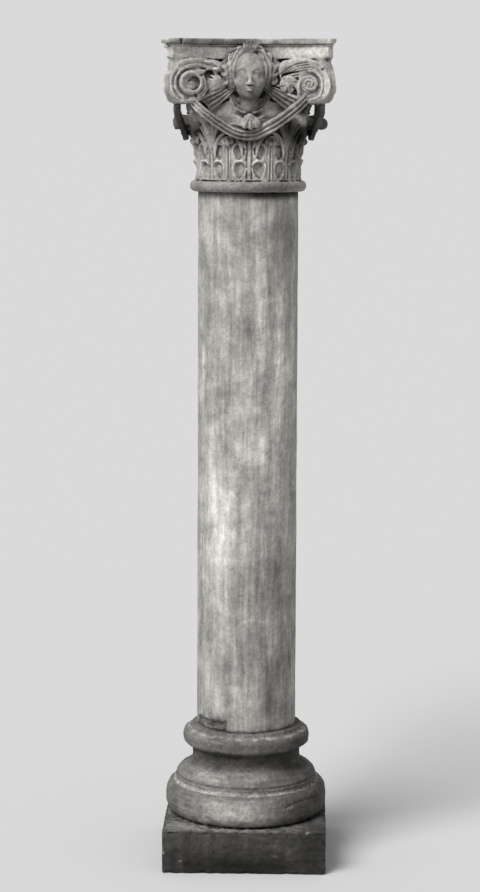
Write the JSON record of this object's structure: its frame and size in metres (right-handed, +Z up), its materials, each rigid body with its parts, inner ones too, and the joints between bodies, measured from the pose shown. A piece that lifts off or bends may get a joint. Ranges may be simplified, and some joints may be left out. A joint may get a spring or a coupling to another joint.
{
  "type": "carved column",
  "caption": "Free-standing carved stone column: moulded base on a square plinth, plain round shaft, leafy capital with corner volutes, heads and swags under a hollow-sided abacus.",
  "frame": {"origin": "middle of the plinth's underside, on the column's axis", "axes": "+Z up along the axis, -Y towards the front, where the capital's left volute has lost its eye; the capital is square to X and Y"},
  "size_m": [0.3718, 0.3718, 1.8],
  "materials": {
    "base_stone": "weathered, darkened by old paint and dirt",
    "shaft_stone": "weathered, streaked",
    "capital_stone": "carved, worn"
  },
  "bodies": {
    "root": {"base": "base_stone", "shaft": "shaft_stone", "capital": "capital_stone"}
  },
  "joints": []
}
